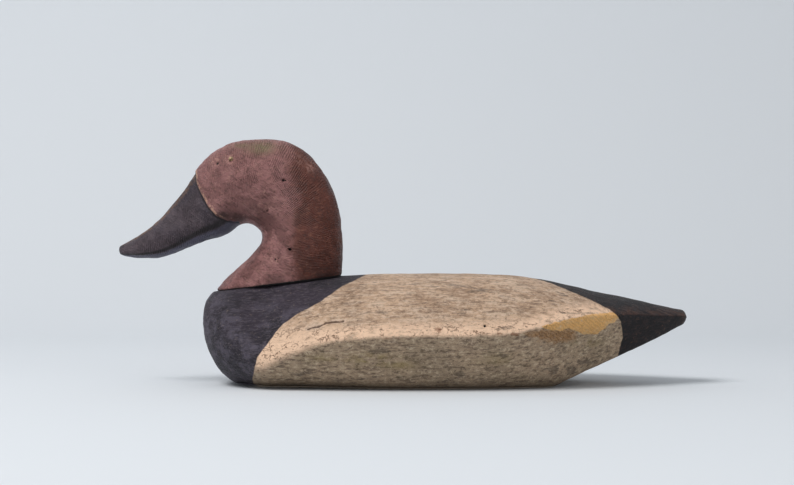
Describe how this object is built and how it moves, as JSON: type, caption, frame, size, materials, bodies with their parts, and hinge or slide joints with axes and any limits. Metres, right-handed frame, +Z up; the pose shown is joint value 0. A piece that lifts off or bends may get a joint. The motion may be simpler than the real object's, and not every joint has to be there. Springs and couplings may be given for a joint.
{
  "type": "floating duck decoy",
  "caption": "Carved wooden drake decoy with a hollow two-piece body, a nailed-on head, ballast let into the flat bottom and a swinging line-tie ring.",
  "frame": {"origin": "on the flat bottom, under the middle of the overall length and width", "axes": "+Z up, -X towards the bill, +X towards the tail, +Y to the duck's right side"},
  "size_m": [0.386, 0.168, 0.1655],
  "materials": {
    "body_paint": "worn off-white oil paint over wood, with black breast and tail",
    "head_paint": "worn red-brown oil paint over wood, with a black bill",
    "bare_wood": "bare sanded wood",
    "nail_iron": "rusty iron",
    "tack_brass": "tarnished",
    "lead": "dull oxidised lead",
    "screw_steel": "dull, lightly rusted",
    "tie_wire": "old galvanised wire"
  },
  "bodies": {
    "decoy": {"body_top": "body_paint", "body_bottom": "body_paint", "head": "head_paint", "head_dowel": "bare_wood", "neck_nails": "nail_iron", "body_nails": "nail_iron", "eye_tack_left": "tack_brass", "eye_tack_right": "tack_brass", "ballast_weight": "lead", "ballast_screws": "screw_steel", "line_tie_staple": "tie_wire"},
    "line_tie_ring": {"line_tie_ring": "tie_wire"}
  },
  "joints": [
    {"name": "line_ring_swing", "type": "hinge", "parent": "decoy", "child": "line_tie_ring", "pos_m": [-0.0881, 0, 0.005], "axis": [0, 1, 0], "range_deg": [0, 125]}
  ]
}
